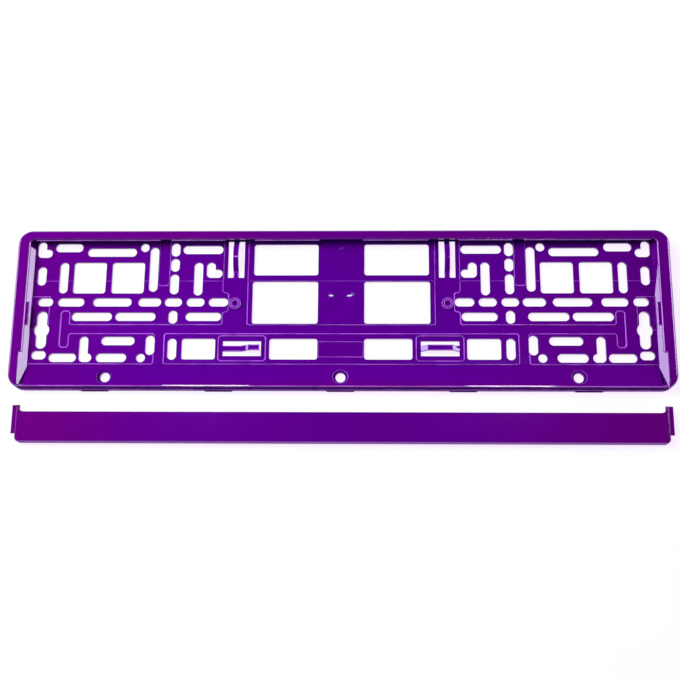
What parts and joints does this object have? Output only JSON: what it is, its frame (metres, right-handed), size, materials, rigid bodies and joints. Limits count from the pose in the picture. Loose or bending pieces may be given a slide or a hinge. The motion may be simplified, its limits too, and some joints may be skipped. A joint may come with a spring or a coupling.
{
  "type": "number plate holder",
  "caption": "Glossy moulded frame that holds a car number plate on a bumper, with a slotted floor, spring tongues and a clip-on lower strip lying in front of it.",
  "frame": {"origin": "middle of the base frame's back face, which lies on the ground plane", "axes": "+X along the number plate, +Y towards the frame's top edge, +Z out of the front face"},
  "size_m": [0.534, 0.1758, 0.012],
  "materials": {
    "purple_metallised": "glossy metallised purple"
  },
  "bodies": {
    "root": {"base_frame": "purple_metallised", "lower_strip": "purple_metallised"}
  },
  "joints": []
}
